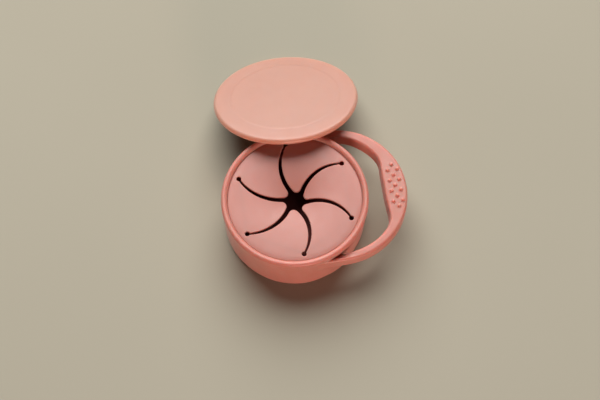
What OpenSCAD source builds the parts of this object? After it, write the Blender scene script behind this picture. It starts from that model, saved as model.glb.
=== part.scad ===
// Collapsible snack container for a toddler, pressed flat, with its cover leaning on it.
// The origin is on the floor under the middle of the cup, +Z is up and +X points to the handle.

/* [Upper wall and rim] */
// Outer radius of the rim bead
rim_r = 45; // [44.5:0.5:50]
// Height of the cup pressed flat, from the floor to the top of the rim
flat_h = 33; // [32:0.5:37]
// Radius of the round rim bead
bead_r = 2; // [1.8:0.1:2.2]
// How far the bead stands out from the wall
bead_lip = 0.5; // [0.4:0.1:0.9]
// Thickness of the upper wall
wall_t = 2.6; // [2.2:0.1:3]
// Outer radius of the rolled edge at the foot of the upper wall
fold_r = 4; // [3.6:0.1:4.4]
// Gap between the rolled edge and the floor
fold_gap = 0.3; // [0.2:0.1:0.6]

/* [Folding web] */
// Height of the web when the cup is pressed flat
web_h = 17; // [12:0.5:17]
// Thickness of the web
web_t = 1.2; // [0.8:0.1:1.6]
// How much nearer to the axis the web's top lies than its foot
web_draft = 1.2; // [0.6:0.1:1.8]

/* [Base] */
// Thickness of the lower wall
base_wall_t = 2.2; // [1.8:0.1:2.8]
// Thickness of the floor
base_floor_t = 2.4; // [1.8:0.1:3.2]
// How much nearer to the axis the lower wall's foot lies than its top
base_draft = 2; // [1:0.1:4]
// Radius of the lower wall's bottom corner
base_corner_r = 3; // [2.6:0.1:4]
// Thickness of the lip that carries the web
base_lip_t = 1.6; // [1.2:0.1:1.8]
// Gap between the web and the lower wall
web_gap = 0.6; // [0.4:0.1:1]

/* [Flap insert] */
// Depth of the insert's top face below the top of the rim
disc_drop = 1.7; // [1.4:0.1:1.9]
// Thickness of the insert's disc and flaps
flap_t = 1.6; // [1.3:0.1:1.8]
// Clearance between the insert and the cup
seat_gap = 0.15; // [0.1:0.05:0.25]
// Height of the insert's skirt below its shoulder
skirt_h = 5; // [4:0.5:5]
// Thickness of the insert's skirt
skirt_t = 2.2; // [1.6:0.1:2.6]
// Width of the ledge that carries the skirt
ledge_w = 1.6; // [1.2:0.1:2]
// Thickness of the ledge
ledge_t = 1.6; // [1.2:0.1:1.8]

/* [Flaps and slits] */
// Radius of the circle on which the slit-end holes lie
holes_r = 36.8; // [36:0.1:37.4]
// Diameter of a slit-end hole
hole_d = 2.5; // [2.4:0.1:2.8]
// Radius of a slit's curve
slit_r = 26.2; // [25.6:0.1:27]
// Distance at which a slit's full circle would pass the axis
slit_miss = 2.8; // [2.6:0.1:3.1]
// Width of a slit at its end hole
slit_w = 1; // [0.8:0.05:1.2]
// Angle by which a slit opens towards the middle
slit_open = 4.2; // [3.6:0.1:4.6]
// Radius of a flap's tip
tip_r = 2.8; // [2.2:0.1:3.2]
// Angle by which the flaps hang towards the middle
flap_dip = 7; // [4:0.5:9]
// Running gap at a flap's root
root_gap = 0.2; // [0.15:0.05:0.3]

/* [Handle] */
// Distance from the cup's axis to the outermost face of the handle
handle_reach = 69; // [67:0.5:73]
// Outer radius of the handle's curve
handle_r = 43.8; // [42:0.1:44.2]
// Width of the strap, seen from above
strap_w = 5.2; // [4.6:0.1:6]
// Height of the strap
strap_h = 9; // [7:0.5:10]
// Depth of the strap's top below the top of the rim
strap_drop = 4.5; // [3.5:0.1:5.5]
// Radius of the strap's long edges
strap_edge_r = 2; // [1:0.1:2.2]
// Width of the grip, seen from above
grip_w = 14.1; // [12:0.1:15]
// How far the grip stays inside the strap's outer face
grip_inset = 1.2; // [1:0.1:2]
// Radius of the corners between the grip and the strap, inside the loop
grip_corner_r = 14; // [8:0.5:16]
// Clearance between the strap's roots and the cup
root_clear = 0.05; // [0.04:0.01:0.1]

/* [Grip dots] */
// Diameter of a raised dot
dot_d = 2; // [1.6:0.1:2.2]
// Height of a raised dot
dot_h = 0.8; // [0.5:0.1:0.9]
// Distance between neighbours in a row
dot_pitch = 7; // [6:0.1:7.4]
// Distance between neighbouring rows
dot_row_gap = 2.95; // [2.6:0.05:3.2]
// Distance from the grip's outermost face to the middle row
dot_row_in = 7; // [6.6:0.1:7.4]
// Number of dots in the middle row
dot_count = 5; // [3:1:5]

/* [Cover] */
// How far the cover stands out past the rim
cover_lip = 0.5; // [0.3:0.1:3]
// Height of the cover
cover_h = 6.2; // [5.4:0.1:7]
// Height of the plug ring under the cover
plug_h = 1.4; // [1:0.1:1.6]
// Least width of the plug ring
plug_w = 5; // [4:0.5:7]
// How far the plug ring reaches inwards past the point that rests on the rim
plug_reach = 1.3; // [1:0.1:3]
// Clearance between the plug ring and the rim bead
plug_gap = 0.4; // [0.3:0.1:0.6]
// Depth of the hollow inside the plug ring
hollow_d = 2.8; // [2:0.1:3.2]
// Radius of the shallow dish in the top
dish_r = 35.4; // [32:0.1:37]
// Depth of the dish in the top
dish_d = 0.7; // [0.4:0.1:1]
// Width of the dish's sloping edge
dish_slope = 2.5; // [1.5:0.1:4]

/* [Where the cover leans] */
// Angle of the leaning cover from level
lean = 27.5; // [25:0.5:31]
// Direction from the cup to the leaning cover, from +X towards +Y
lean_dir = 86; // [70:0.5:110]
// Clearance between the leaning cover and what it rests on
lean_gap = 0.25; // [0.1:0.05:0.4]

/* [Hidden] */

// Smoothness of large, middle and small rounds
fine = 144;
round_fn = 64;
small_fn = 32;
// Overlap that joins two shapes of one solid
bite = 0.2;
// Reach of a cut beyond what it cuts
past = 1;

// Colours
cup_pink = "#c98577";
flap_pink = "#d69b8f";
cover_peach = "#e2ab98";

// Upper wall, from the rim down
wall_r = rim_r - bead_lip;
wall_in = wall_r - wall_t;
bead_c = rim_r - bead_r;
bead_z = flat_h - bead_r;
bead_in = rim_r - 2 * bead_r;
fold_c = wall_r - fold_r;
fold_z = fold_gap + fold_r;

// Web, from the rolled edge up
web_foot_r = fold_c - fold_r + wall_t / 2;
web_top_r = web_foot_r - web_draft;
web_top_z = fold_z + web_h;

// Base
base_lip_r = web_top_r + web_t / 2;
base_top_r = web_top_r - web_t / 2 - web_gap;
base_foot_r = base_top_r - base_draft;
base_top_z = web_top_z + base_lip_t;

// Flap insert
disc_top = flat_h - disc_drop;
disc_r = bead_in - seat_gap;
skirt_r = wall_in - seat_gap;
shoulder_z = bead_z - sqrt(pow(bead_r, 2) - pow(bead_c - wall_in, 2)) - seat_gap;
seat_z = shoulder_z - skirt_h;

// Flaps: the first one's middle lies on +X, and its root runs from hole A to hole B
flap_count = 6;
flap_step = 360 / flap_count;
root_x = holes_r * cos(flap_step / 2);
root_z = disc_top - flap_t / 2;
hole_a = holes_r * [cos(flap_step / 2), -sin(flap_step / 2)];
hole_b = holes_r * [cos(flap_step / 2), sin(flap_step / 2)];
hole_r = hole_d / 2;
root_len = 2 * (hole_b.y - hole_r);

// Direction from the axis to the middle of a slit's circle, off the direction of its hole
slit_c_r = slit_r + slit_miss;
slit_c_dir = -acos((pow(holes_r, 2) + pow(slit_c_r, 2) - pow(slit_r, 2)) / (2 * holes_r * slit_c_r));

function turned(p, a) = [p.x * cos(a) - p.y * sin(a), p.x * sin(a) + p.y * cos(a)];

// Middle of one edge of the slit from a hole in direction dir; side is 1 outside the curve, -1 inside
function slit_edge_c(dir, side) =
    let (hole = turned([holes_r, 0], dir))
    let (middle = turned([slit_c_r, 0], dir + slit_c_dir))
    hole + turned(middle - hole, -side * slit_open / 2);

function slit_edge_r(side) = slit_r + side * slit_w / 2;

// Where two circles meet, on the left of the line from the first to the second
function left_meet(c1, r1, c2, r2) =
    let (d = norm(c2 - c1))
    let (a = (pow(r1, 2) - pow(r2, 2) + pow(d, 2)) / (2 * d))
    let (h = sqrt(pow(r1, 2) - pow(a, 2)))
    let (u = (c2 - c1) / d)
    c1 + a * u + h * [-u.y, u.x];

// The two slit edges that bound the first flap, its round tip, and where the tip meets them
edge_a_c = slit_edge_c(-flap_step / 2, 1);
edge_b_c = slit_edge_c(flap_step / 2, -1);
edge_a_r = slit_edge_r(1);
edge_b_r = slit_edge_r(-1);
tip_c = left_meet(edge_a_c, edge_a_r + tip_r, edge_b_c, edge_b_r - tip_r);
tip_on_a = edge_a_c + edge_a_r * (tip_c - edge_a_c) / norm(tip_c - edge_a_c);
tip_on_b = edge_b_c + edge_b_r * (tip_c - edge_b_c) / norm(tip_c - edge_b_c);
tip_line = (tip_on_b - tip_on_a) / norm(tip_on_b - tip_on_a);

// Handle
handle_c = handle_reach - handle_r;
strap_top = flat_h - strap_drop;
strap_z = strap_top - strap_h / 2;
strap_in_r = handle_r - strap_w;
grip_x = handle_reach - grip_w;
// Middle of a grip corner and its ends on the grip and on the strap, from the middle of the handle's curve
grip_edge_x = grip_x - handle_c;
corner_mid = [grip_edge_x - grip_corner_r,
    sqrt(pow(strap_in_r - grip_corner_r, 2) - pow(grip_edge_x - grip_corner_r, 2))];
corner_on_grip = [grip_edge_x, corner_mid.y];
corner_on_strap = corner_mid * strap_in_r / (strap_in_r - grip_corner_r);
dot_x = handle_reach - dot_row_in;
// A dot is the cap of a sphere
dot_r = (pow(dot_d / 2, 2) + pow(dot_h, 2)) / (2 * dot_h);

// Cover, lying with its plug ring on its own z = 0
cover_r = rim_r + cover_lip;
cover_edge_r = (cover_h - plug_h) / 2;
plug_r = bead_in - plug_gap;
// The leaning cover's far edge stands on the floor and its plug ring lies over the bead
edge_low = (cover_r - cover_edge_r) * sin(lean) - (plug_h + cover_edge_r) * cos(lean) + cover_edge_r;
plug_low = plug_r * sin(lean);
cover_z = max(edge_low, plug_low) + lean_gap;
cover_out = bead_c + (bead_r + lean_gap + (bead_z - cover_z) * cos(lean)) / sin(lean);
// Radius on the cover at which it rests on the bead, and the hollow inside that
rest_r = (cover_out - bead_c) * cos(lean) + (bead_z - cover_z) * sin(lean);
hollow_r = min(rest_r - plug_reach, plug_r - plug_w);

// Half of a plane, used to keep the lower half of a ring
module lower_half(size) {
    translate([-size, -size])
        square([2 * size, size]);
}

module base_cup() {
    color(cup_pink)
        rotate_extrude($fn = fine)
            base_section();
}

// Wall and floor of the base, seen in section from the axis outwards
module base_section() {
    corner_c = base_foot_r - base_corner_r;
    // Wall between its round corner and the lip
    polygon([
        [base_foot_r - base_wall_t, base_corner_r],
        [base_foot_r, base_corner_r],
        [base_top_r, web_top_z + base_lip_t / 2],
        [base_top_r - base_wall_t, web_top_z + base_lip_t / 2]
    ]);
    // Lip over the web, with a round inner edge
    translate([base_top_r - base_wall_t + base_lip_t / 2, web_top_z])
        square([base_lip_r - base_top_r + base_wall_t - base_lip_t / 2, base_lip_t]);
    translate([base_top_r - base_wall_t + base_lip_t / 2, web_top_z + base_lip_t / 2])
        circle(base_lip_t / 2, $fn = small_fn);
    // Floor
    square([corner_c, base_floor_t]);
    // Bottom corner, round on both faces
    intersection() {
        translate([corner_c, base_corner_r])
            difference() {
                circle(base_corner_r, $fn = small_fn);
                circle(base_corner_r - base_wall_t, $fn = small_fn);
            }
        translate([corner_c - bite, 0])
            square([base_corner_r + bite, base_corner_r]);
    }
}

module fold_web() {
    color(cup_pink)
        rotate_extrude($fn = fine)
            polygon([
                [web_foot_r - web_t / 2, fold_z],
                [web_foot_r + web_t / 2, fold_z],
                [web_top_r + web_t / 2, web_top_z],
                [web_top_r - web_t / 2, web_top_z]
            ]);
}

module cup_ring() {
    color(cup_pink)
        rotate_extrude($fn = fine) {
            // Wall
            translate([wall_in, fold_z])
                square([wall_t, bead_z - fold_z]);
            // Rim bead
            translate([bead_c, bead_z])
                circle(bead_r, $fn = small_fn);
            // Rolled edge at the foot
            translate([fold_c, fold_z])
                intersection() {
                    difference() {
                        circle(fold_r, $fn = small_fn);
                        circle(fold_r - wall_t, $fn = small_fn);
                    }
                    lower_half(fold_r + past);
                }
            // Ledge under the flap insert
            translate([wall_in - ledge_w, seat_z - ledge_t])
                square([ledge_w + bite, ledge_t]);
        }
}

// Section of the strap, middle on the origin: a rectangle with round corners
module strap_section() {
    square([strap_w - 2 * strap_edge_r, strap_h], center = true);
    square([strap_w, strap_h - 2 * strap_edge_r], center = true);
    for (side_x = [-1, 1], side_y = [-1, 1])
        translate([side_x * (strap_w / 2 - strap_edge_r), side_y * (strap_h / 2 - strap_edge_r)])
            circle(strap_edge_r, $fn = small_fn);
}

module handle() {
    color(cup_pink)
        difference() {
            union() {
                // Curved strap
                translate([handle_c, 0, strap_z])
                    rotate([0, 0, -90])
                        rotate_extrude(angle = 180, $fn = fine)
                            translate([handle_r - strap_w / 2, 0])
                                strap_section();
                // Straight roots that run to the wall
                for (side = [-1, 1])
                    translate([handle_c, side * (handle_r - strap_w / 2), strap_z])
                        rotate([90, 0, -90])
                            linear_extrude(handle_c)
                                strap_section();
                // Widened grip
                translate([handle_c, 0, strap_top - strap_h])
                    linear_extrude(strap_h)
                        grip_outline();
                grip_dots();
            }
            // The roots end at the wall and under the bead
            translate([0, 0, strap_top - strap_h - past])
                cylinder(r = wall_r + root_clear, h = strap_h + 2 * past, $fn = fine);
            translate([0, 0, bead_z - bead_r - root_clear])
                cylinder(r = rim_r + root_clear, h = 2 * bead_r, $fn = fine);
        }
}

// Outline of the grip from above: a slice of the handle's round, with rounded corners inside the loop
module grip_outline() {
    intersection() {
        circle(handle_r - grip_inset, $fn = fine);
        translate([grip_edge_x, -handle_r])
            square([grip_w, 2 * handle_r]);
    }
    for (side = [0, 1])
        mirror([0, side])
            difference() {
                polygon([
                    corner_mid,
                    corner_on_grip + [past, 0],
                    [grip_edge_x + past, corner_on_strap.y],
                    corner_on_strap + past * corner_on_strap / strap_in_r
                ]);
                translate(corner_mid)
                    circle(grip_corner_r, $fn = round_fn);
            }
}

// Three rows of dots, the outer rows one short and half a pitch along
module grip_dots() {
    for (row = [-1, 0, 1]) {
        count = row == 0 ? dot_count : dot_count - 1;
        for (i = [0 : count - 1])
            translate([dot_x + row * dot_row_gap, (i - (count - 1) / 2) * dot_pitch, strap_top + dot_h - dot_r])
                sphere(dot_r, $fn = small_fn);
    }
}

module flap_ring() {
    color(flap_pink)
        difference() {
            rotate_extrude($fn = fine) {
                translate([0, disc_top - flap_t])
                    square([disc_r, flap_t]);
                translate([skirt_r - skirt_t, seat_z])
                    square([skirt_t, shoulder_z - seat_z]);
                translate([skirt_r - skirt_t, shoulder_z - bite])
                    square([disc_r - skirt_r + skirt_t, disc_top - shoulder_z]);
            }
            // Hexagon between the slit-end holes
            translate([0, 0, disc_top - flap_t - past])
                rotate([0, 0, flap_step / 2])
                    cylinder(r = holes_r, h = flap_t + 2 * past, $fn = flap_count);
            for (i = [0 : flap_count - 1])
                rotate([0, 0, i * flap_step]) {
                    // Round seat for a flap's root
                    translate([root_x, hole_b.y, root_z])
                        rotate([90, 0, 0])
                            cylinder(r = flap_t / 2 + root_gap, h = 2 * hole_b.y, $fn = round_fn);
                    // Slit-end hole
                    translate([hole_b.x, hole_b.y, disc_top - flap_t - past])
                        cylinder(r = hole_r, h = flap_t + 2 * past, $fn = round_fn);
                }
        }
}

// Outline of the flap whose middle lies on +X, in its own plane
module flap_outline() {
    difference() {
        intersection() {
            translate(edge_b_c)
                circle(edge_b_r, $fn = fine);
            polygon([
                tip_on_a - holes_r * tip_line,
                tip_on_b + holes_r * tip_line,
                [root_x, holes_r],
                [root_x, -holes_r]
            ]);
        }
        translate(edge_a_c)
            circle(edge_a_r, $fn = fine);
        translate(hole_a)
            circle(hole_r, $fn = round_fn);
        translate(hole_b)
            circle(hole_r, $fn = round_fn);
    }
    translate(tip_c)
        circle(tip_r, $fn = round_fn);
}

// One flap: a plate with a round root, hanging a little towards the middle
module flap(number) {
    color(flap_pink)
        rotate([0, 0, (number - 1) * flap_step])
            translate([root_x, 0, root_z])
                rotate([0, -flap_dip, 0]) {
                    translate([-root_x, 0, -flap_t / 2])
                        linear_extrude(flap_t)
                            flap_outline();
                    translate([0, root_len / 2, 0])
                        rotate([90, 0, 0])
                            cylinder(d = flap_t, h = root_len, $fn = round_fn);
                }
}

module cover() {
    color(cover_peach)
        rotate([0, 0, lean_dir])
            translate([cover_out, 0, cover_z])
                rotate([0, lean, 0])
                    rotate_extrude($fn = fine)
                        cover_section();
}

// Section of the cover, seen from its axis outwards
module cover_section() {
    difference() {
        union() {
            translate([0, plug_h])
                square([cover_r - cover_edge_r, 2 * cover_edge_r]);
            translate([cover_r - cover_edge_r, plug_h + cover_edge_r])
                circle(cover_edge_r, $fn = small_fn);
            square([plug_r, plug_h + bite]);
        }
        // Hollow inside the plug ring
        translate([-past, -past])
            square([hollow_r + past, hollow_d + past]);
        // Shallow dish in the top
        polygon([
            [-past, cover_h - dish_d],
            [dish_r - dish_slope, cover_h - dish_d],
            [dish_r, cover_h],
            [dish_r, cover_h + past],
            [-past, cover_h + past]
        ]);
    }
}

base_cup();
fold_web();
cup_ring();
handle();
flap_ring();
flap(1);  // flap_1
flap(2);  // flap_2
flap(3);  // flap_3
flap(4);  // flap_4
flap(5);  // flap_5
flap(6);  // flap_6
cover();
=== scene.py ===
import math

import bmesh
import bpy
from mathutils import Matrix, Vector


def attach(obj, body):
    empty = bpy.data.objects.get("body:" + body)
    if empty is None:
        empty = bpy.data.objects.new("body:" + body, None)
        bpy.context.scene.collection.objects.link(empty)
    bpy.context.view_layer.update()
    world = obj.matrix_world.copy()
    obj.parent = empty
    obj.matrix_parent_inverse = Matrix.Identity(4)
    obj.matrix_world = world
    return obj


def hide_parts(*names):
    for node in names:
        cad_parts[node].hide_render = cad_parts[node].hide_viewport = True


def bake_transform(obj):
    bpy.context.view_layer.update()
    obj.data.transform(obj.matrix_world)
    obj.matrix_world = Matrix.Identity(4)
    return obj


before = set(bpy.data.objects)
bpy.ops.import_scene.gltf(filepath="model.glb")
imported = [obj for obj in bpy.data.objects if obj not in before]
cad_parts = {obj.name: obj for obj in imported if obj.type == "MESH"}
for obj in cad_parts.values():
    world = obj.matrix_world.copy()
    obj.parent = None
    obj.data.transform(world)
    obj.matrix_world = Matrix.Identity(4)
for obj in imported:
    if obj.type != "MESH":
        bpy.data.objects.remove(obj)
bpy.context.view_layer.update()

MM = 0.001

# Sizes in millimetres, the same as the solids have
RIM_R = 45.0
CUP_H = 33.0
BEAD_R = 2.0
WALL_R = 44.5
WALL_IN = 41.9
FOLD_R = 4.0
FOLD_Z = 4.3
WEB_T = 1.2
WEB_TOP_Z = 21.3
BASE_TOP_Z = 22.9
FLOOR_T = 2.4
DISC_TOP = 31.3
FLAP_T = 1.6
SKIRT_R = 41.75
SEAT_Z = 24.2
HOLES_R = 36.8
FLAP_COUNT = 6
FLAP_TURN = 360 / FLAP_COUNT
ROOT_X = HOLES_R * math.cos(math.radians(FLAP_TURN / 2))
HANDLE_R = 43.8
HANDLE_X = 25.2
STRAP_W = 5.2
STRAP_H = 9.0
STRAP_TOP = 28.5
STRAP_IN_R = HANDLE_R - STRAP_W
STRAP_R = HANDLE_R - STRAP_W / 2
STRAP_Z = STRAP_TOP - STRAP_H / 2
COVER_R = 45.5
COVER_H = 6.2
PLUG_H = 1.4
PLUG_R = 40.6
LEAN = 27.5
LEAN_DIR = 86.0
LEAN_GAP = 0.25

# Shapes that only the scene has: the strap widens downwards, and its inner upper corner sinks at the roots
STRAP_DRAFT = 0.8
ROOT_SINK = 2.8

# Points nearer than this count as one
SAME_POINT = 0.002


# Drawing and shaping, as by hand

def deselect():
    bpy.ops.object.select_all(action="DESELECT")


def make_active(piece):
    deselect()
    piece.select_set(True)
    bpy.context.view_layer.objects.active = piece


def edit(piece):
    make_active(piece)
    bpy.ops.object.mode_set(mode="EDIT")
    bpy.ops.mesh.select_mode(type="VERT")


def done():
    bpy.ops.object.mode_set(mode="OBJECT")


def pick(piece, test):
    """Selects the vertices that pass the test, and nothing else."""
    bpy.ops.mesh.select_mode(type="VERT")
    bpy.ops.mesh.select_all(action="DESELECT")
    mesh = bmesh.from_edit_mesh(piece.data)
    for vertex in mesh.verts:
        vertex.select = test(vertex.co)
    mesh.select_flush(True)
    bmesh.update_edit_mesh(piece.data)


def arc(x, z, radius, start, end, steps):
    """Points of an arc in the section plane, angles in degrees."""
    turns = [math.radians(start + (end - start) * i / steps) for i in range(steps + 1)]
    return [(x + radius * math.cos(t), z + radius * math.sin(t)) for t in turns]


def drawn_line(name, points):
    """A line through the points, extruded vertex by vertex from the first one."""
    deselect()
    bpy.ops.mesh.primitive_plane_add(size=MM)
    piece = bpy.context.active_object
    piece.name = name
    edit(piece)
    bpy.ops.mesh.select_all(action="SELECT")
    bpy.ops.mesh.merge(type="CENTER")
    here = Vector(points[0]) * MM
    bpy.ops.transform.translate(value=here)
    for point in points[1:]:
        there = Vector(point) * MM
        bpy.ops.mesh.extrude_region_move(TRANSFORM_OT_translate={"value": there - here})
        here = there
    return piece


def turned_piece(name, section, steps):
    """Draws a section from the axis outwards and spins it once round the cup's axis."""
    piece = drawn_line(name, [(x, 0, z) for x, z in section])
    bpy.ops.mesh.select_all(action="SELECT")
    bpy.ops.mesh.spin(steps=steps, angle=2 * math.pi, center=(0, 0, 0), axis=(0, 0, 1))
    bpy.ops.mesh.select_all(action="SELECT")
    bpy.ops.mesh.remove_doubles(threshold=SAME_POINT * MM)
    bpy.ops.mesh.normals_make_consistent(inside=False)
    done()
    bpy.ops.object.shade_smooth()
    return piece


def apply_modifier(piece, kind, **values):
    make_active(piece)
    modifier = piece.modifiers.new(kind.lower(), kind)
    for name, value in values.items():
        setattr(modifier, name, value)
    bpy.ops.object.modifier_apply(modifier=modifier.name)


def join(pieces, name):
    deselect()
    for piece in pieces:
        piece.select_set(True)
    bpy.context.view_layer.objects.active = pieces[0]
    bpy.ops.object.join()
    pieces[0].name = name
    return pieces[0]


def fuse(piece, voxel):
    """Melts overlapping shapes into one moulding."""
    make_active(piece)
    piece.data.remesh_voxel_size = voxel * MM
    piece.data.remesh_voxel_adaptivity = 0
    bpy.ops.object.voxel_remesh()
    bpy.ops.object.shade_smooth()


def soften(piece, times, test=None):
    """Rounds the edges of a moulding, everywhere or only where the test gives a weight."""
    group = ""
    if test:
        made = piece.vertex_groups.new(name="softened")
        group = made.name
        for vertex in piece.data.vertices:
            weight = test(vertex.co / MM)
            if weight > 0:
                made.add([vertex.index], weight, "REPLACE")
    apply_modifier(piece, "SMOOTH", factor=0.5, iterations=times, vertex_group=group)
    if test:
        piece.vertex_groups.remove(piece.vertex_groups["softened"])


def smoothstep(low, high, value):
    t = min(max((value - low) / (high - low), 0.0), 1.0)
    return t * t * (3 - 2 * t)


def facing(degrees):
    """The level direction at this angle round the cup's axis."""
    turn = math.radians(degrees)
    return Vector((math.cos(turn), math.sin(turn), 0))


# The cup's moulding: wall, bead, rolled foot and handle

# Where a hand has pushed the wall: the angle round the axis, how far outwards, the lowest and highest point
# of the patch, and how far beyond the patch the push is felt
WALL_PUSHES = [
    (-30, -1.7, 0, 20, 20),
    (-62, -0.5, 0, 20, 20),
    (-106, 0.35, 0, 20, 20),
    (-42, -0.9, 21, 26, 7),
]


def stand_askew(wall):
    """Pressed flat by hand, the wall stands in beside the handle's front root and out a little in front."""
    rim_from_z, wall_from_r, half_width = 28.6, 40.6, 0.16
    for degrees, push, low, high, reach in WALL_PUSHES:
        out = facing(degrees)

        def in_patch(co):
            in_wall = low * MM <= co.z < high * MM and co.xy.length > wall_from_r * MM
            return in_wall and (co.xy.normalized() - out.xy).length < half_width

        edit(wall)
        pick(wall, lambda co: co.z > rim_from_z * MM)
        bpy.ops.mesh.hide(unselected=False)
        pick(wall, in_patch)
        bpy.ops.transform.translate(value=out * push * MM, use_proportional_edit=True,
                                    proportional_edit_falloff="SMOOTH", proportional_size=reach * MM)
        bpy.ops.mesh.reveal(select=False)
        done()


def rim_roll():
    """The roll along the rim, wider inside than outside, from its inner lower end over the top."""
    inner_reach, outer_reach = 2.3, 1.6
    roll_x, roll_z = RIM_R - outer_reach, CUP_H - BEAD_R
    start, end, steps = 228, 0, 24
    roll = []
    for i in range(steps + 1):
        turn = math.radians(start + (end - start) * i / steps)
        reach = outer_reach if math.cos(turn) > 0 else inner_reach
        roll.append((roll_x + reach * math.cos(turn), roll_z + BEAD_R * math.sin(turn)))
    return roll


def upper_wall():
    """Ledge for the insert, roll along the rim, straight wall and rolled foot."""
    ledge_x, ledge_z = 40.3, 22.6
    fold_x = WALL_R - FOLD_R
    wall_t = WALL_R - WALL_IN
    wall_rings = [21.5, 19, 16.5, 14, 11.5, 9, 6.5]
    inner_wall = [(WALL_IN, FOLD_Z)] + [(WALL_IN, z) for z in reversed(wall_rings)]
    ledge = [(WALL_IN, ledge_z), (ledge_x, ledge_z), (ledge_x, SEAT_Z), (WALL_IN, SEAT_Z)]
    tapers_in = ((0.04, 30.1), (0.14, 29.1), (0.28, 28.0), (0.42, 26.9))
    under_roll = [(RIM_R - inwards, z) for inwards, z in tapers_in]
    outer_wall = [(WALL_R, 25.6)] + [(WALL_R, z) for z in wall_rings]
    fold = arc(fold_x, FOLD_Z, FOLD_R, 0, -180, 20)
    fold += arc(fold_x, FOLD_Z, FOLD_R - wall_t, 180, 360, 10)
    section = inner_wall + ledge + rim_roll() + under_roll + outer_wall + fold
    wall = turned_piece("upper_wall", section, steps=180)
    stand_askew(wall)
    return wall


# Inner radius of the handle by the angle round its own middle, from the front root to the back root
LOOP_INSIDE = [(-90, 38.6), (-62, 38.4), (-50, 38.2), (-42, 37.8), (-36, 36.9), (-30, 34.9), (-24, 32.7),
               (-16, 30.9), (-8, 30.0), (0, 29.7), (9, 30.1), (16, 30.9), (22, 32.2), (28, 34.0), (34, 35.3),
               (42, 36.1), (55, 37.0), (67, 38.0), (79, 38.5), (90, 38.6)]


def loop_inside(angle):
    for (a0, r0), (a1, r1) in zip(LOOP_INSIDE, LOOP_INSIDE[1:]):
        if a0 <= angle <= a1:
            return r0 + (r1 - r0) * (angle - a0) / (a1 - a0)


def root_sink(x):
    """How far the strap's inner upper corner sinks at x, so that the rim stands free over the root."""
    full_to_x, none_from_x = 17, 33
    return ROOT_SINK * (1 - smoothstep(full_to_x, none_from_x, x))


def strap_section():
    """The rounded section of the strap, drawn at the back root."""
    corner_r, corner_steps = 1.6, 6
    deselect()
    bpy.ops.mesh.primitive_plane_add(size=MM, rotation=(0, math.pi / 2, 0))
    strap = bpy.context.active_object
    strap.name = "handle_strap"
    bpy.ops.object.transform_apply(location=True, rotation=True, scale=True)
    edit(strap)
    bpy.ops.mesh.select_all(action="SELECT")
    bpy.ops.transform.resize(value=(1, STRAP_W, STRAP_H), center_override=(0, 0, 0))
    bpy.ops.mesh.bevel(offset=corner_r * MM, segments=corner_steps, affect="VERTICES")
    pick(strap, lambda co: co.y < 0 and co.z < 0)
    bpy.ops.transform.translate(value=(0, -STRAP_DRAFT * MM, 0))
    bpy.ops.mesh.select_all(action="SELECT")
    bpy.ops.transform.translate(value=Vector((HANDLE_X, STRAP_R, STRAP_Z)) * MM)
    bpy.ops.mesh.delete(type="ONLY_FACE")
    return strap


def shape_loop(strap, steps):
    """The inner face of each ring moves inwards for the grip. Near the roots its upper corner sinks."""
    centre = Vector((HANDLE_X, 0, 0)) * MM
    half_ring, off_middle, too_small = 0.3, 0.1, 0.02
    for i in range(1, steps):
        angle = 90 - 180 * i / steps
        out = facing(angle)
        along = Vector((-out.y, out.x, 0))

        def on_inner_face(co):
            arm = co - centre
            arm.z = 0
            return abs(arm.dot(along)) < half_ring * MM and 0 < arm.dot(out) < (STRAP_R - off_middle) * MM

        push = STRAP_IN_R - loop_inside(angle)
        if push > too_small:
            pick(strap, on_inner_face)
            bpy.ops.transform.translate(value=-out * push * MM)
        sink = root_sink(HANDLE_X + STRAP_R * math.cos(math.radians(angle)))
        if sink > too_small:
            pick(strap, lambda co: co.z > STRAP_Z * MM and on_inner_face(co))
            bpy.ops.transform.translate(value=(0, 0, -sink * MM))


def run_into_wall(strap, side):
    """A root runs straight back into the wall and flares a little, and its inner upper corner sinks."""
    flares = ((20, 1.0), (15, 1.02), (10, 1.04), (5, 1.05))
    half_ring = 0.01

    def in_ring(co, x):
        return co.y * side > 0 and abs(co.x - x * MM) < half_ring * MM

    here = HANDLE_X
    for there, grow in flares:
        pick(strap, lambda co: in_ring(co, here))
        bpy.ops.mesh.extrude_region_move(TRANSFORM_OT_translate={"value": ((there - here) * MM, 0, 0)})
        middle = Vector((there, side * STRAP_R, STRAP_Z)) * MM
        bpy.ops.transform.resize(value=(1, 1, grow), center_override=middle)
        here = there
    pick(strap, lambda co: in_ring(co, here))
    bpy.ops.mesh.edge_face_add()
    for x in [HANDLE_X] + [there for there, grow in flares]:
        pick(strap, lambda co: in_ring(co, x) and co.z > STRAP_Z * MM and co.y * side < STRAP_R * MM)
        bpy.ops.transform.translate(value=(0, 0, -root_sink(x) * MM))


def handle_strap():
    """A rounded section, spun half round, pushed inwards for the grip and run into the wall at both ends."""
    steps = 90
    strap = strap_section()
    bpy.ops.mesh.select_all(action="SELECT")
    bpy.ops.mesh.spin(steps=steps, angle=math.pi, center=Vector((HANDLE_X, 0, 0)) * MM, axis=(0, 0, 1))
    shape_loop(strap, steps)
    for side in (1, -1):
        run_into_wall(strap, side)
    bpy.ops.mesh.select_all(action="SELECT")
    bpy.ops.mesh.normals_make_consistent(inside=False)
    done()
    return strap


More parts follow.
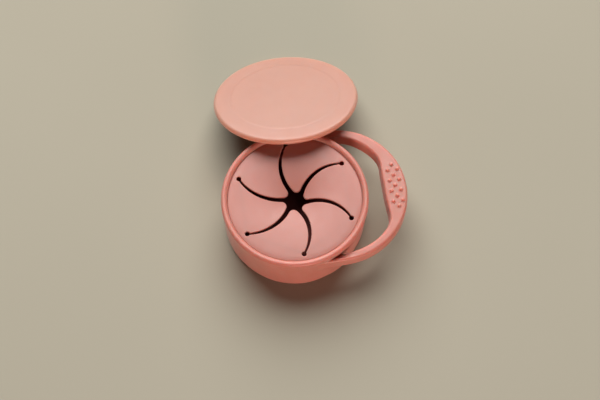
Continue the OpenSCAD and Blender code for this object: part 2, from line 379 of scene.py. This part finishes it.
def grip_dots():
    """One soft dot, and its copies in three rows on the grip."""
    pitch, row_gap, middle_x = 7.0, 2.95, 62.0
    dot_r, dot_h = 1.12, 0.98
    rows = ((-1, 4), (0, 5), (1, 4))
    places = []
    for row, count in rows:
        for i in range(count):
            places.append(Vector((middle_x + row * row_gap, (i - (count - 1) / 2) * pitch, 0)) * MM)
    deselect()
    bpy.ops.mesh.primitive_uv_sphere_add(segments=32, ring_count=16, radius=dot_r * MM)
    first = bpy.context.active_object
    first.name = "grip_dot"
    edit(first)
    bpy.ops.mesh.select_all(action="SELECT")
    bpy.ops.transform.translate(value=places[0] + Vector((0, 0, (STRAP_TOP + dot_h - dot_r) * MM)))
    done()
    dots = [first]
    for place in places[1:]:
        make_active(first)
        bpy.ops.object.duplicate(linked=False)
        dot = bpy.context.active_object
        edit(dot)
        bpy.ops.mesh.select_all(action="SELECT")
        bpy.ops.transform.translate(value=place - places[0])
        done()
        dots.append(dot)
    return dots


def outside_roots(co):
    """How much to soften at a point in millimetres: most where the strap's outer face runs into the wall."""
    near_wall = 1 - smoothstep(2.0, 4.5, abs(math.hypot(co.x, co.y) - WALL_R))
    at_root = smoothstep(40.2, 41.2, abs(co.y)) * smoothstep(-4, 4, co.x)
    below_rim = smoothstep(14, 17, co.z) * (1 - smoothstep(26.2, 27.6, co.z))
    return near_wall * at_root * below_rim


def cup_moulding():
    cup = join([upper_wall(), handle_strap()] + grip_dots(), "cup_moulding")
    fuse(cup, voxel=0.42)
    soften(cup, times=16, test=outside_roots)
    soften(cup, times=2)
    apply_modifier(cup, "DECIMATE", ratio=0.5)
    bpy.ops.object.shade_smooth()
    return cup


# Base and web

def cup_base():
    """Floor with a rounded foot, a wall that leans out, and a lip that carries the web."""
    foot_x, foot_r = 30.4, 3.0
    corner_x, corner_z, corner_r = 30.1, 3.6, 1.2
    lip_z = 22.1
    foot = [(0, 0), (15, 0), (foot_x, 0)] + arc(foot_x, foot_r, foot_r, -90, 0, 10)[1:]
    outer_wall = [(34.4, 12.5), (35.3, 21.1)]
    lip = [(36.7, WEB_TOP_Z)] + arc(36.6, lip_z, 0.6, -45, 60, 5) + [(36.2, BASE_TOP_Z)]
    inner_edge = arc(34.0, lip_z, 0.8, 90, 180, 5)
    inner_wall = [(33.1, 21.0), (32.2, 12.5), (corner_x + corner_r, corner_z)]
    floor_top = arc(corner_x, corner_z, corner_r, 0, -90, 6)[1:] + [(15, FLOOR_T), (0, FLOOR_T)]
    section = foot + outer_wall + lip + inner_edge + inner_wall + floor_top
    return turned_piece("cup_base", section, steps=144)


def rolling_web():
    """Thin wall between the base and the upper wall, with rings enough to roll over smoothly."""
    rings = 36
    foot_r, draft = 38.4, 1.2
    low_z, rise = FOLD_Z - 0.6, WEB_TOP_Z + 0.8 - FOLD_Z
    outside = [(foot_r - draft * i / rings, low_z + rise * i / rings) for i in range(rings + 1)]
    inside = [(x - WEB_T, z) for x, z in reversed(outside)]
    return turned_piece("rolling_web", outside + inside + outside[:1], steps=144)


# The flap insert

def turned_by(point, degrees):
    a = math.radians(degrees)
    x = point.x * math.cos(a) - point.y * math.sin(a)
    y = point.x * math.sin(a) + point.y * math.cos(a)
    return Vector((x, y))


def left_meet(c1, r1, c2, r2):
    """Where two circles meet, on the left of the line from the first to the second."""
    gap = c2 - c1
    d = gap.length
    a = (r1 * r1 - r2 * r2 + d * d) / (2 * d)
    u = gap / d
    return c1 + a * u + math.sqrt(r1 * r1 - a * a) * Vector((-u.y, u.x))


def arc_between(centre, start, end, steps, longer=False):
    """Points from start to end on a circle round centre, the short way or the long way."""
    a0 = math.atan2(start.y - centre.y, start.x - centre.x)
    a1 = math.atan2(end.y - centre.y, end.x - centre.x)
    turn = (a1 - a0 + math.pi) % (2 * math.pi) - math.pi
    if longer:
        turn -= math.copysign(2 * math.pi, turn)
    radius = (start - centre).length
    return [centre + radius * Vector((math.cos(a0 + turn * i / steps), math.sin(a0 + turn * i / steps)))
            for i in range(steps + 1)]


def star_outline():
    """One sixth of the star's edge: down a slit, round a flap's tip, up the next slit and round its hole."""
    slit_r, slit_miss, slit_w, slit_open_degrees = 26.2, 2.8, 1.0, 4.2
    tip_r, hole_r = 2.8, 1.5
    slit_steps, round_steps = 28, 14
    reach = slit_r + slit_miss
    off = -math.degrees(math.acos((HOLES_R ** 2 + reach ** 2 - slit_r ** 2) / (2 * HOLES_R * reach)))
    hole_a = turned_by(Vector((HOLES_R, 0)), -FLAP_TURN / 2)
    hole_b = turned_by(Vector((HOLES_R, 0)), FLAP_TURN / 2)

    def edge_middle(hole, direction, side):
        middle = turned_by(Vector((reach, 0)), direction + off)
        return hole + turned_by(middle - hole, -side * slit_open_degrees / 2)

    def inner_meet(c, r, hole):
        both = [left_meet(c, r, hole, hole_r), left_meet(hole, hole_r, c, r)]
        return min(both, key=lambda p: p.length)

    a_c, a_r = edge_middle(hole_a, -FLAP_TURN / 2, 1), slit_r + slit_w / 2
    b_c, b_r = edge_middle(hole_b, FLAP_TURN / 2, -1), slit_r - slit_w / 2
    tip_c = left_meet(a_c, a_r + tip_r, b_c, b_r - tip_r)
    tip_a = a_c + a_r * (tip_c - a_c).normalized()
    tip_b = b_c + b_r * (tip_c - b_c).normalized()
    on_a, on_b = inner_meet(a_c, a_r, hole_a), inner_meet(b_c, b_r, hole_b)
    next_a = turned_by(on_a, FLAP_TURN)
    line = arc_between(a_c, on_a, tip_a, slit_steps)
    line += arc_between(tip_c, tip_a, tip_b, round_steps)[1:]
    line += arc_between(b_c, tip_b, on_b, slit_steps)[1:]
    line += arc_between(hole_b, on_b, next_a, round_steps, longer=True)[1:]
    return line


def star_cutter():
    bottom, top = DISC_TOP - 12, DISC_TOP + 4
    meet_within = 0.01
    cutter = drawn_line("star_cutter", [(p.x, p.y, bottom) for p in star_outline()])
    bpy.ops.mesh.select_all(action="SELECT")
    bpy.ops.mesh.spin(steps=FLAP_COUNT, angle=2 * math.pi, center=(0, 0, 0), axis=(0, 0, 1), dupli=True)
    bpy.ops.mesh.select_all(action="SELECT")
    bpy.ops.mesh.remove_doubles(threshold=meet_within * MM)
    bpy.ops.mesh.edge_face_add()
    bpy.ops.mesh.extrude_region_move(TRANSFORM_OT_translate={"value": (0, 0, (top - bottom) * MM)})
    bpy.ops.mesh.select_all(action="SELECT")
    bpy.ops.mesh.normals_make_consistent(inside=False)
    done()
    return cutter


def dish(radius):
    """How far the flaps hang below the insert's flat edge."""
    sag_from, sag = 33.5, 5.9
    return sag * max(1 - radius / sag_from, 0) ** 2


def insert_disc():
    """The insert before it is cut: a dished disc with a flat edge, and a skirt that stands on the ledge."""
    rings = range(0, 38, 2)
    shoulder_x, shoulder_r = 40.5, 0.65
    top = [(r, DISC_TOP - dish(r)) for r in rings]
    edge = [(r, DISC_TOP - drop) for r, drop in ((37.6, 0), (38.6, 0.04), (39.6, 0.13))]
    shoulder = arc(shoulder_x, DISC_TOP - 0.9, shoulder_r, 80, 0, 5) + [(41.1, 29.5)]
    skirt = [(SKIRT_R - 0.2, 29.1), (SKIRT_R, 28.8), (SKIRT_R, 25.0), (SKIRT_R - 0.6, SEAT_Z)]
    skirt += [(39.9, SEAT_Z), (39.5, 24.8), (39.4, 28.6), (38.6, DISC_TOP - FLAP_T)]
    underside = [(r, DISC_TOP - FLAP_T - dish(r)) for r in reversed(rings)]
    return turned_piece("insert_disc", top + edge + shoulder + skirt + underside, steps=144)


def lay_into_cut(piece, out):
    """Lays the vertices that almost lie in a root's plane into it, so that the cut leaves no slivers."""
    within = 0.03
    mesh = bmesh.from_edit_mesh(piece.data)
    for vertex in mesh.verts:
        off = vertex.co.dot(out) - ROOT_X * MM
        if abs(off) < within * MM:
            vertex.co -= off * out
    bmesh.update_edit_mesh(piece.data)


def split_at_roots(disc):
    """Cuts the insert through in six planes and splits it along the roots of its flaps, which lie in them."""
    into_hole, cut_threshold = 1.0, 0.001
    root_half = HOLES_R * math.sin(math.radians(FLAP_TURN / 2)) - into_hole
    edit(disc)
    roots = []
    for i in range(FLAP_COUNT):
        out = facing(FLAP_TURN * i)
        roots.append((out, Vector((-out.y, out.x, 0))))
        bpy.ops.mesh.select_all(action="SELECT")
        lay_into_cut(disc, out)
        bpy.ops.mesh.bisect(plane_co=out * ROOT_X * MM, plane_no=out, use_fill=False,
                            threshold=cut_threshold * MM)

    def on_root(co):
        return any(abs(co.dot(out) - ROOT_X * MM) < SAME_POINT * MM and abs(co.dot(along)) < root_half * MM
                   for out, along in roots)

    pick(disc, on_root)
    bpy.ops.mesh.edge_split(type="EDGE")
    bpy.ops.mesh.select_all(action="SELECT")
    bpy.ops.mesh.separate(type="LOOSE")
    done()
    return list(bpy.context.selected_objects)


def close_cuts(piece):
    """Closes the ends that the split leaves open. Their edges are sharp, so the skin keeps its shading."""
    edit(piece)
    bpy.ops.mesh.select_mode(type="EDGE")
    bpy.ops.mesh.select_all(action="DESELECT")
    bpy.ops.mesh.select_non_manifold(extend=False, use_wire=False, use_boundary=True, use_multi_face=False,
                                     use_non_contiguous=False, use_verts=False)
    bpy.ops.mesh.mark_sharp()
    bpy.ops.mesh.fill_holes(sides=0)
    done()


def flap_insert():
    """The insert is cut by the star and softened, and comes apart into its ring and its six flaps."""
    disc = insert_disc()
    cutter = star_cutter()
    apply_modifier(disc, "BOOLEAN", object=cutter, operation="DIFFERENCE", solver="EXACT")
    bpy.data.objects.remove(cutter)
    fuse(disc, voxel=0.34)
    soften(disc, times=4)
    round_axis = 4
    flaps = {}
    for piece in split_at_roots(disc):
        close_cuts(piece)
        middle = sum((v.co for v in piece.data.vertices), Vector()) / len(piece.data.vertices)
        if middle.xy.length < round_axis * MM:
            piece.name = "insert_ring"
            ring = piece
        else:
            number = round(math.degrees(math.atan2(middle.y, middle.x)) / FLAP_TURN) % FLAP_COUNT + 1
            piece.name = "soft_flap_%d" % number
            flaps[number] = piece
    return ring, flaps


# Cover

def cover_section():
    """A plateau with a slight crown, a small step round it, a band that falls outwards and a rolled edge."""
    crown_r, crown, plateau = 33.6, 0.6, 0.1
    edge_r, edge_in = 2.12, 0.02
    plug_round, plug_in_r, hollow_round, hollow_z = 0.5, 28.7, 0.8, 1.8

    def crown_top(r):
        return COVER_H + plateau + crown * (1 - (r / crown_r) ** 2)

    top = [(r, crown_top(r)) for r in (0, 3, 6, 9, 12, 15, 18, 21, 24, 27, 30, 32, 33)]
    step = [(33.6, 0.09), (34.1, 0.03), (34.6, -0.06), (35.1, -0.12)]
    band = [(35.8, -0.15), (36.8, -0.19), (38.2, -0.26), (40.0, -0.35), (42.0, -0.48)]
    top += [(r, COVER_H + above) for r, above in step + band]
    edge = arc(COVER_R - edge_in - edge_r, PLUG_H + edge_r, edge_r, 78, -90, 20)
    plug = [(41.4, PLUG_H)] + arc(41.0, 1.0, 0.4, 90, 180, 3)[1:]
    plug += arc(PLUG_R - plug_round, plug_round, plug_round, 0, -90, 4)
    plug += arc(plug_in_r + plug_round, plug_round, plug_round, -90, -180, 4)
    hollow = arc(plug_in_r - hollow_round, hollow_z - hollow_round, hollow_round, 0, 90, 5)
    hollow += [(r, hollow_z) for r in (26, 18, 9, 0)]
    return top + edge + plug + hollow


def leaning_cover():
    """The cover is turned lying flat, and then leans, its edge on the floor and its underside on the bead."""
    cover = turned_piece("leaning_cover", cover_section(), steps=180)
    lean = math.radians(LEAN)
    rest_r = (COVER_H - PLUG_H) / 2
    bead_z = CUP_H - BEAD_R
    lowest = (COVER_R - rest_r) * math.sin(lean) - (PLUG_H + rest_r) * math.cos(lean) + rest_r
    z = max(lowest, PLUG_R * math.sin(lean)) + LEAN_GAP
    out = RIM_R - BEAD_R + (BEAD_R + LEAN_GAP + (bead_z - z) * math.cos(lean)) / math.sin(lean)
    towards = Matrix.Rotation(math.radians(LEAN_DIR), 4, "Z")
    at_rest = Matrix.Translation(Vector((out, 0, z)) * MM)
    cover.matrix_world = towards @ at_rest @ Matrix.Rotation(lean, 4, "Y")
    make_active(cover)
    bpy.ops.object.transform_apply(location=True, rotation=True, scale=True)
    return cover


# Materials

def nodes_of(name):
    material = bpy.data.materials.new(name)
    material.use_nodes = True
    tree = material.node_tree
    shader = tree.nodes["Principled BSDF"]
    coordinates = tree.nodes.new("ShaderNodeTexCoord")
    return material, tree, shader, coordinates


def set_inputs(node, values):
    for name, value in values.items():
        node.inputs[name].default_value = value


def noise(tree, coordinates, scale, detail, roughness=0.5):
    node = tree.nodes.new("ShaderNodeTexNoise")
    set_inputs(node, {"Scale": scale, "Detail": detail, "Roughness": roughness})
    tree.links.new(coordinates.outputs["Object"], node.inputs["Vector"])
    return node


def two_tones(tree, shader, cloud, deeper, lighter, starts=0.0, ends=1.0):
    """The base colour drifts between two close tones."""
    tones = tree.nodes.new("ShaderNodeValToRGB")
    low, high = tones.color_ramp.elements
    low.position = starts
    low.color = deeper
    high.position = ends
    high.color = lighter
    tree.links.new(cloud.outputs["Fac"], tones.inputs["Fac"])
    tree.links.new(tones.outputs["Color"], shader.inputs["Base Color"])


def srgb(red, green, blue):
    def linear(c):
        c /= 255
        return c / 12.92 if c <= 0.04045 else ((c + 0.055) / 1.055) ** 2.4
    return (linear(red), linear(green), linear(blue), 1)


def silicone(name, colour, deeper, glow, depth, roughness, gloss=0.65):
    """
    Matt silicone: a soft bloom in two close tones, a fine moulded grain, and light that sinks in a little.
    Glow is how far red, green and blue light runs inside, in metres, and depth is the share that sinks in.
    """
    material, tree, shader, coordinates = nodes_of(name)
    cloud = noise(tree, coordinates, scale=38, detail=3)
    two_tones(tree, shader, cloud, deeper, colour, starts=0.32, ends=0.7)
    bloom = noise(tree, coordinates, scale=160, detail=4, roughness=0.6)
    spread = tree.nodes.new("ShaderNodeMapRange")
    set_inputs(spread, {"From Min": 0.3, "From Max": 0.7})
    set_inputs(spread, {"To Min": roughness - 0.05, "To Max": roughness + 0.07})
    tree.links.new(bloom.outputs["Fac"], spread.inputs["Value"])
    tree.links.new(spread.outputs["Result"], shader.inputs["Roughness"])
    grain = noise(tree, coordinates, scale=2600, detail=2, roughness=0.55)
    bump = tree.nodes.new("ShaderNodeBump")
    set_inputs(bump, {"Strength": 0.35, "Distance": 0.04 * MM})
    tree.links.new(grain.outputs["Fac"], bump.inputs["Height"])
    tree.links.new(bump.outputs["Normal"], shader.inputs["Normal"])
    set_inputs(shader, {"Specular IOR Level": gloss, "Sheen Weight": 0.12, "Sheen Roughness": 0.5})
    set_inputs(shader, {"Subsurface Weight": depth, "Subsurface Radius": glow, "Subsurface Scale": 1.0})
    return material


def cover_with(piece, material):
    piece.data.materials.clear()
    piece.data.materials.append(material)


def paint_shade_inside(base, material):
    """The base's inner faces, which only show through the star, get a darker red: painted shade for the dark
    inside of the cup.
    """
    foot_r, foot_z, draft = 32.35, 3.3, 0.105
    above_foot_z, lip_z = 1.2, 21.6

    def inside(co):
        within_wall = co.xy.length < (foot_r + draft * (co.z / MM - foot_z)) * MM
        return co.z > lip_z * MM or (co.z > above_foot_z * MM and within_wall)

    base.data.materials.append(material)
    base.active_material_index = 1
    edit(base)
    pick(base, inside)
    bpy.ops.mesh.select_mode(type="FACE")
    bpy.ops.object.material_slot_assign()
    done()


# Assembly

cup = cup_moulding()
base = cup_base()
web = rolling_web()
ring, flaps = flap_insert()
cover = leaning_cover()

cup_pink = silicone("cup_silicone", srgb(200, 130, 115), srgb(196, 125, 110),
                    glow=(0.005, 0.0012, 0.0008), depth=0.8, roughness=0.48)
flap_pink = silicone("flap_silicone", srgb(193, 126, 113), srgb(189, 122, 109),
                     glow=(0.002, 0.0008, 0.0005), depth=0.6, roughness=0.48)
cover_peach = silicone("cover_silicone", srgb(185, 136, 119), srgb(183, 134, 117),
                       glow=(0.014, 0.0085, 0.0065), depth=1.0, roughness=0.44)
# Painted shade: a darker red that stands in for the shade deep inside the cup, laid on the base's inner faces
inside_painted_shade = silicone("cup_inside_painted_shade", srgb(118, 48, 42), srgb(105, 41, 36),
                      glow=(0.002, 0.0007, 0.0005), depth=0.3, roughness=0.55, gloss=0.2)
web_pink = silicone("web_silicone", srgb(198, 128, 113), srgb(194, 123, 108),
                    glow=(0.0012, 0.0008, 0.0006), depth=0.4, roughness=0.48)

cover_with(cup, cup_pink)
cover_with(base, cup_pink)
# Painted shade on the base's inner faces, for the dark inside of the cup
paint_shade_inside(base, inside_painted_shade)
cover_with(web, web_pink)
cover_with(ring, flap_pink)
cover_with(cover, cover_peach)

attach(cup, "upper")
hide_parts("cup_ring", "handle")
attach(base, "base")
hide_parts("base_cup")
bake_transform(web)
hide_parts("fold_web")
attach(ring, "upper")
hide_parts("flap_ring")

for number, flap in flaps.items():
    cover_with(flap, flap_pink)
    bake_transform(flap)
    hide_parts("flap_%d" % number)
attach(cover, "cover")
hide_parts("cover")


# Floor, light and camera

def floor_material():
    material, tree, shader, coordinates = nodes_of("pale_floor")
    cloud = noise(tree, coordinates, scale=3, detail=3)
    two_tones(tree, shader, cloud, srgb(166, 162, 145), srgb(175, 171, 154))
    set_inputs(shader, {"Roughness": 0.9})
    return material


FLOOR_SIZE = 6
deselect()
bpy.ops.mesh.primitive_plane_add(size=FLOOR_SIZE)
floor = bpy.context.active_object
floor.name = "floor"
floor.data.materials.append(floor_material())

LIT_POINT = Vector((0.01, 0.03, 0.02))


def soft_light(name, azimuth, elevation, distance, size, power, colour):
    """A round soft box. Azimuth counts from straight behind the cup towards its handle."""
    data = bpy.data.lights.new(name, "AREA")
    data.shape = "DISK"
    data.size = size
    data.energy = power
    data.color = colour
    light = bpy.data.objects.new(name, data)
    bpy.context.scene.collection.objects.link(light)
    turn, rise = math.radians(azimuth), math.radians(elevation)
    away = Vector((math.sin(turn) * math.cos(rise), math.cos(turn) * math.cos(rise), math.sin(rise)))
    light.location = distance * away
    light.rotation_mode = "QUATERNION"
    light.rotation_quaternion = (LIT_POINT - light.location).to_track_quat("-Z", "Y")
    light.visible_camera = False


def pale_room(glow, seen):
    """The room lights the object with one glow, and shows the camera a pale background."""
    world = bpy.data.worlds.new("room")
    world.use_nodes = True
    tree = world.node_tree
    lit = tree.nodes["Background"]
    lit.inputs["Color"].default_value = glow
    background = tree.nodes.new("ShaderNodeBackground")
    background.inputs["Color"].default_value = seen
    rays = tree.nodes.new("ShaderNodeLightPath")
    choice = tree.nodes.new("ShaderNodeMixShader")
    tree.links.new(rays.outputs["Is Camera Ray"], choice.inputs["Fac"])
    tree.links.new(lit.outputs["Background"], choice.inputs[1])
    tree.links.new(background.outputs["Background"], choice.inputs[2])
    tree.links.new(choice.outputs["Shader"], tree.nodes["World Output"].inputs["Surface"])
    bpy.context.scene.world = world


soft_light("window", azimuth=5, elevation=45, distance=3.2, size=3.8, power=202, colour=(1.0, 0.97, 0.945))
soft_light("bounce", azimuth=178, elevation=8, distance=3.6, size=0.93, power=86, colour=(1.0, 0.69, 0.6))
pale_room(glow=(0.015, 0.011, 0.01, 1), seen=(0.72, 0.7, 0.66, 1))
bpy.context.scene.view_settings.view_transform = "Standard"

# The camera as fitted to the photo, in metres. The middle of the picture lies a little beside AIM
AZIMUTH, ELEVATION, ROLL = math.radians(-5.93), math.radians(66.51), math.radians(-3.21)
DISTANCE, FOCAL_PX = 1.0, 1649.2
SENSOR_MM, PHOTO_WIDTH_PX = 36, 600
AIM = Vector((0, 0, 0.034))
SHIFT_RIGHT, SHIFT_DOWN = 0.0032, 0.00209
NEAREST, FARTHEST = 0.05, 20

forward = Vector((-math.sin(AZIMUTH) * math.cos(ELEVATION), math.cos(AZIMUTH) * math.cos(ELEVATION),
                  -math.sin(ELEVATION)))
level_right = Vector((math.cos(AZIMUTH), math.sin(AZIMUTH), 0))
level_up = level_right.cross(forward)
right = math.cos(ROLL) * level_right + math.sin(ROLL) * level_up
up = -math.sin(ROLL) * level_right + math.cos(ROLL) * level_up
lens = bpy.data.cameras.new("camera")
lens.sensor_width = SENSOR_MM
lens.lens = FOCAL_PX * SENSOR_MM / PHOTO_WIDTH_PX
lens.clip_start, lens.clip_end = NEAREST, FARTHEST
camera = bpy.data.objects.new("camera", lens)
bpy.context.scene.collection.objects.link(camera)
stand = AIM - DISTANCE * forward + right * SHIFT_RIGHT - up * SHIFT_DOWN
camera.matrix_world = Matrix((
    (right.x, up.x, -forward.x, stand.x),
    (right.y, up.y, -forward.y, stand.y),
    (right.z, up.z, -forward.z, stand.z),
    (0, 0, 0, 1)))
bpy.context.scene.camera = camera
